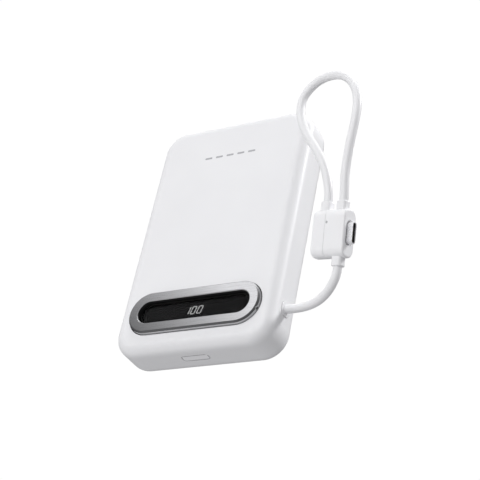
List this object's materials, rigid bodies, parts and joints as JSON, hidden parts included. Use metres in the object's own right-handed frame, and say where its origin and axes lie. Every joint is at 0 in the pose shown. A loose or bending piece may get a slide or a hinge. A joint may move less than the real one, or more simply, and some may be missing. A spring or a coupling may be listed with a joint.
{
  "type": "magnetic power bank",
  "caption": "Slim magnetic power bank with a display in a folding metal stand ring, an end button, and a captive USB-C cable whose loop plugs into a keeper.",
  "frame": {"origin": "centre of the flat back (magnetic) face, with the bank lying on its back", "axes": "+Z is the front (display) face's outward normal, +Y points to the end away from the display, +X is the side the cable leaves from"},
  "size_m": [0.1025, 0.1092, 0.0383],
  "materials": {
    "case_white": "soft-touch white",
    "cover_white": "soft-touch white",
    "pad_silicone": "matt silicone",
    "mark_print": "grey pad print",
    "ring_metal": "fine brushed",
    "hinge_steel": "bright",
    "frame_black": "gloss black",
    "window_glass": "smoked, polished",
    "display_black": "matt black",
    "segment_white": "lit segment",
    "flex_amber": "polyimide",
    "button_white": "soft-touch white",
    "switch_black": "moulded",
    "switch_plunger_red": "moulded",
    "board_green": "solder mask",
    "chip_black": "epoxy",
    "choke_grey": "pressed ferrite",
    "capacitor_tan": "ceramic",
    "cell_foil": "laminated foil",
    "foam_grey": "closed-cell foam",
    "nickel": "nickel strip",
    "cradle_black": "moulded",
    "thermistor_blue": "epoxy bead",
    "spreader_aluminium": "rolled",
    "coil_copper": "enamelled copper",
    "ferrite_black": "sintered",
    "magnet_nickel": "nickel plate",
    "yoke_steel": "rolled",
    "screw_steel": "blackened",
    "insert_brass": "turned",
    "wire_white": "insulated wire",
    "cable_white": "satin elastomer",
    "grommet_white": "satin elastomer",
    "collar_white": "satin elastomer",
    "block_white": "soft-touch white",
    "catch_grey": "turned",
    "shell_steel": "bright drawn steel",
    "insulator_black": "moulded",
    "contact_gold": "gold flash"
  },
  "bodies": {
    "case": {"alignment_magnet": "magnet_nickel", "back_cover": "cover_white", "back_pad": "pad_silicone", "brass_inserts": "insert_brass", "cable_anchor": "grommet_white", "cable_core_wires": "wire_white", "cable_grommet": "grommet_white", "cable_lead": "cable_white", "capacitors": "capacitor_tan", "cell_adhesive_pad": "foam_grey", "cell_back": "cell_foil", "cell_cradle": "cradle_black", "cell_foam_pad": "foam_grey", "cell_front": "cell_foil", "cell_protection_board": "board_green", "cell_tabs": "nickel", "charging_coil": "coil_copper", "coil_leads": "coil_copper", "controller_chips": "chip_black", "cover_screws": "screw_steel", "display_flex": "flex_amber", "display_frame": "frame_black", "display_module": "display_black", "display_segments": "segment_white", "display_window": "window_glass", "ferrite_disc": "ferrite_black", "front_mark": "mark_print", "front_shell": "case_white", "heat_spreader": "spreader_aluminium", "inductors": "choke_grey", "kickstand_brackets": "hinge_steel", "magnet_segments": "magnet_nickel", "magnet_yoke": "yoke_steel", "main_pcb": "board_green", "pcb_screws": "screw_steel", "power_switch_body": "switch_black", "power_transistors": "chip_black", "thermistor": "thermistor_blue"},
    "stand": {"kickstand_ring": "ring_metal", "kickstand_pins": "hinge_steel"},
    "button": {"power_button": "button_white", "power_switch_plunger": "switch_plunger_red"},
    "keeper": {"keeper_body": "block_white", "keeper_core_wires": "wire_white", "keeper_catch_pin": "catch_grey", "keeper_lower_collar": "collar_white", "keeper_upper_collar": "collar_white", "loop_cable": "cable_white"},
    "plug": {"plug_head": "block_white", "plug_collar": "collar_white", "plug_shell": "shell_steel", "plug_insulator": "insulator_black", "plug_contacts": "contact_gold", "plug_circuit_board": "board_green"}
  },
  "joints": [
    {"name": "stand_fold", "type": "hinge", "parent": "case", "child": "stand", "pos_m": [0, -0.03067, 0.0187], "axis": [-1, 0, 0], "range_deg": [0, 70]},
    {"name": "button_press", "type": "slide", "parent": "case", "child": "button", "axis": [0, 1, 0], "range_m": [0, 0.0004], "stiffness_N_per_m": 1500},
    {"name": "cable_swing", "type": "hinge", "parent": "case", "child": "keeper", "pos_m": [0.0375, -0.0373, 0.01], "axis": [0, 0, -1], "range_deg": [0, 70], "stiffness_Nm_per_rad": 0.01, "deforming": ["cable_lead"]},
    {"name": "plug_release", "type": "slide", "parent": "keeper", "child": "plug", "axis": [-0.9803, 0.1678, -0.1043], "range_m": [0, 0.011], "stiffness_N_per_m": 40, "deforming": ["loop_cable"]}
  ]
}
